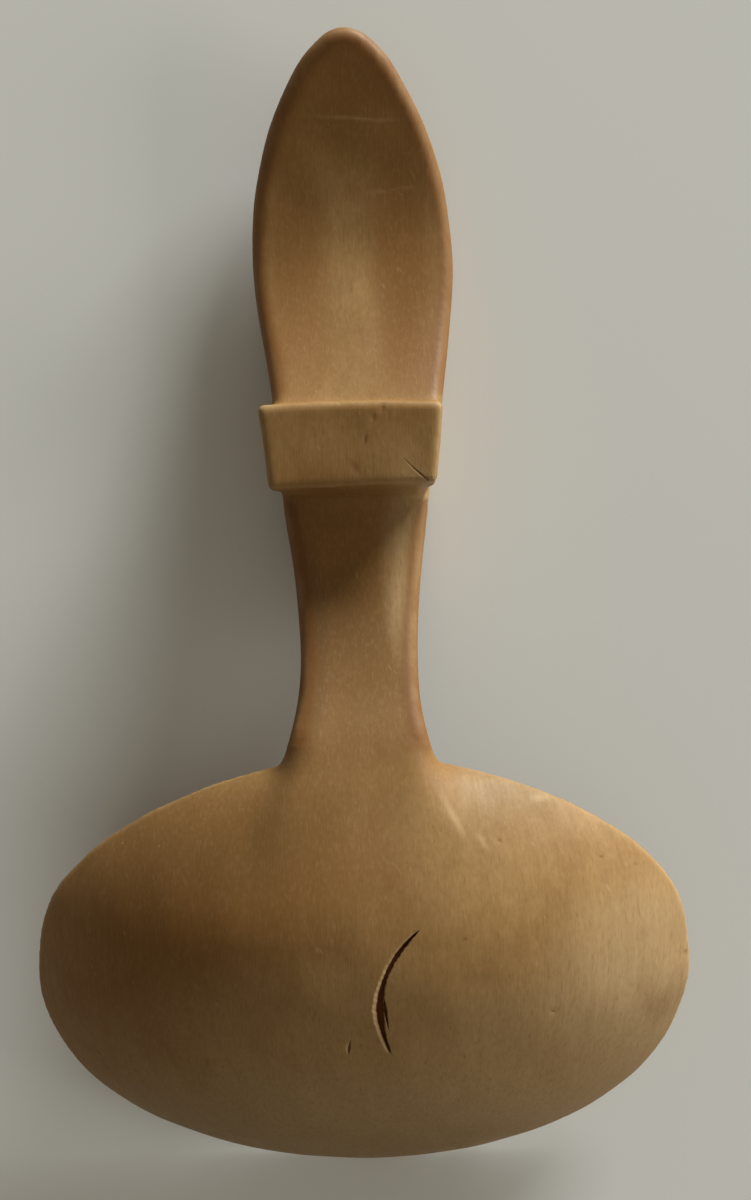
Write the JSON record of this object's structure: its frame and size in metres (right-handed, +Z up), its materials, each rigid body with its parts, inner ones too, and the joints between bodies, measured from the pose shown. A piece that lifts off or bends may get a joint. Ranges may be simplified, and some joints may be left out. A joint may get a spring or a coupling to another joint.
{
  "type": "carved wooden spoon",
  "caption": "Broad shallow oval bowl on a curved neck with a square hook block on its back and a leaf-shaped grip, carved from one piece of wood for ladling and serving.",
  "frame": {"origin": "on the floor, midway along the length and across the bowl", "axes": "+Y from the bowl along the handle to its tip, +Z up, away from the floor that the mouth of the bowl faces"},
  "size_m": [0.1264, 0.2219, 0.0375],
  "materials": {
    "wood": "satin, worn smooth by use"
  },
  "bodies": {
    "root": {"bowl": "wood", "neck": "wood", "rim_hook": "wood", "leaf_grip": "wood"}
  },
  "joints": []
}
